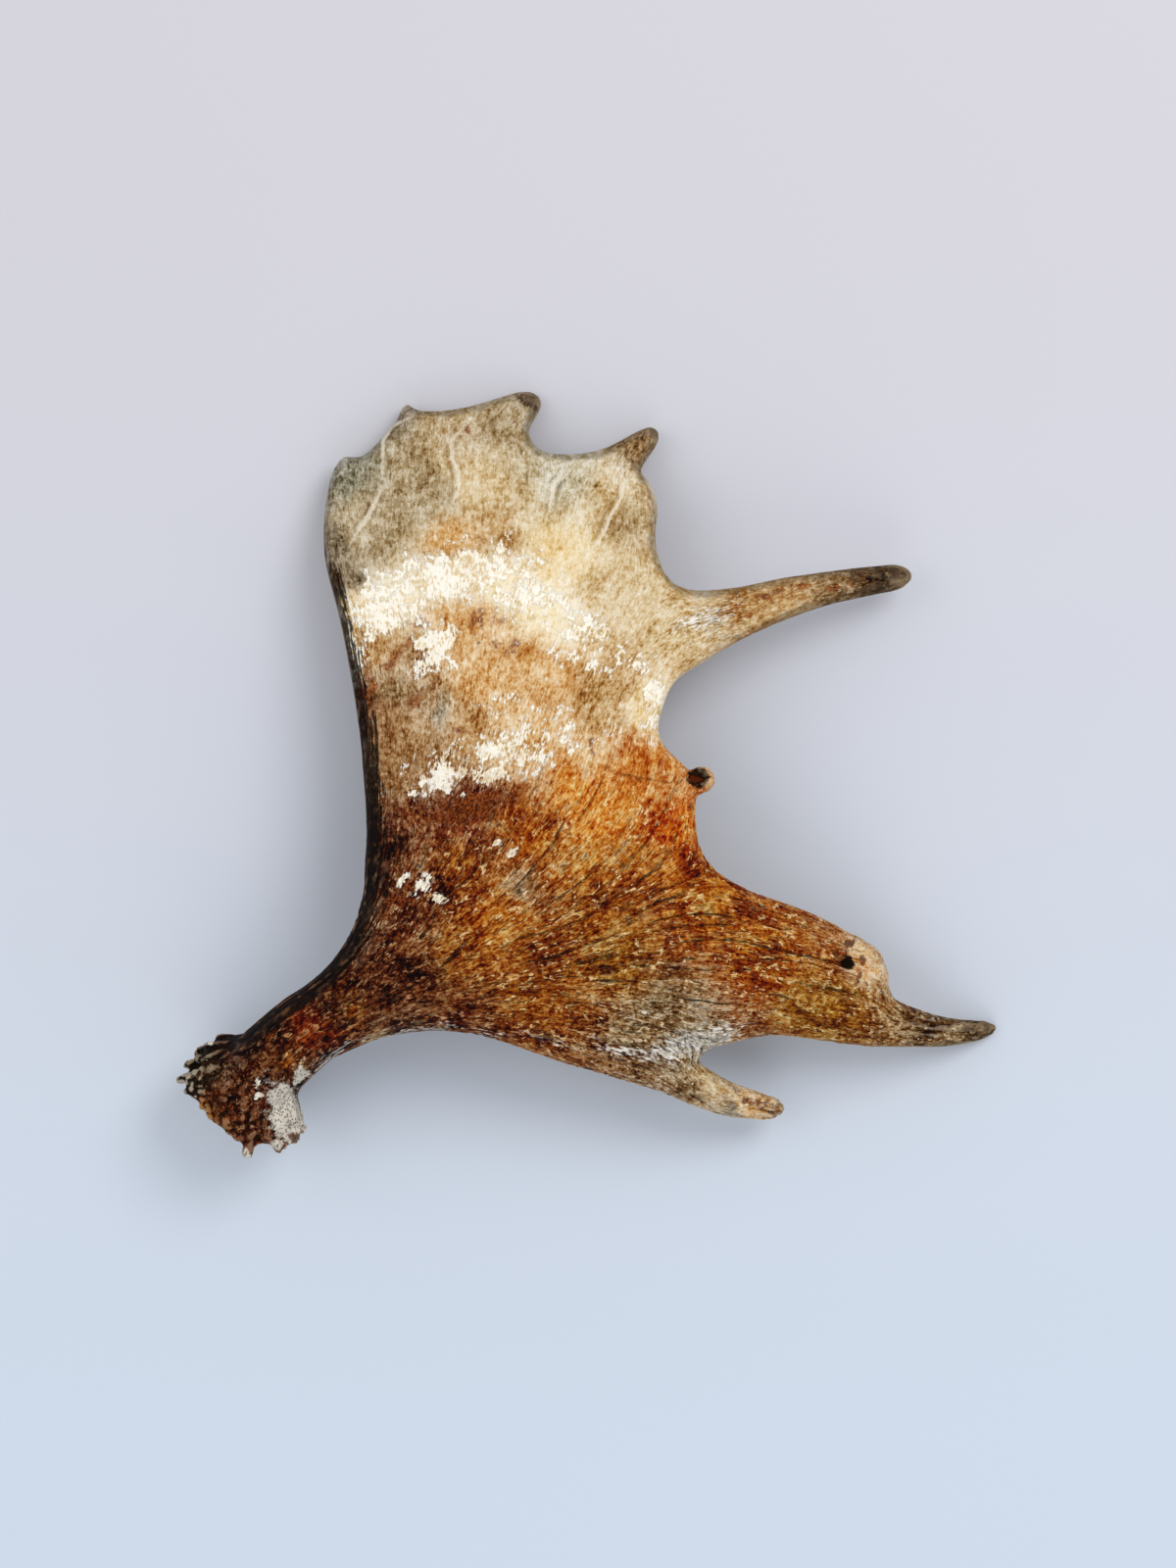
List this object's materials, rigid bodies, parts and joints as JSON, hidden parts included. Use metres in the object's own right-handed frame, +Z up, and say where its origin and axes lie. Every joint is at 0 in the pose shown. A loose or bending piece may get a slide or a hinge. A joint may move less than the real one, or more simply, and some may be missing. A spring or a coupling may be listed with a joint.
{
  "type": "moose antler",
  "caption": "Shed moose antler, one piece of bone with a knobbly burr, beam, dished palm, long side tine and forked brow palm, lying hollow side down.",
  "frame": {"origin": "middle of the bounding box in plan, on the surface that the antler rests on", "axes": "+X from the burr towards the brow tip, +Y towards the points of the upper palm, +Z up, out of the palm's convex side"},
  "size_m": [0.507, 0.4714, 0.0983],
  "materials": {
    "antler_bone": "weathered bone, stained brown and bleached cream, matt to satin, fine lengthwise grooves"
  },
  "bodies": {
    "root": {"antler": "antler_bone"}
  },
  "joints": []
}
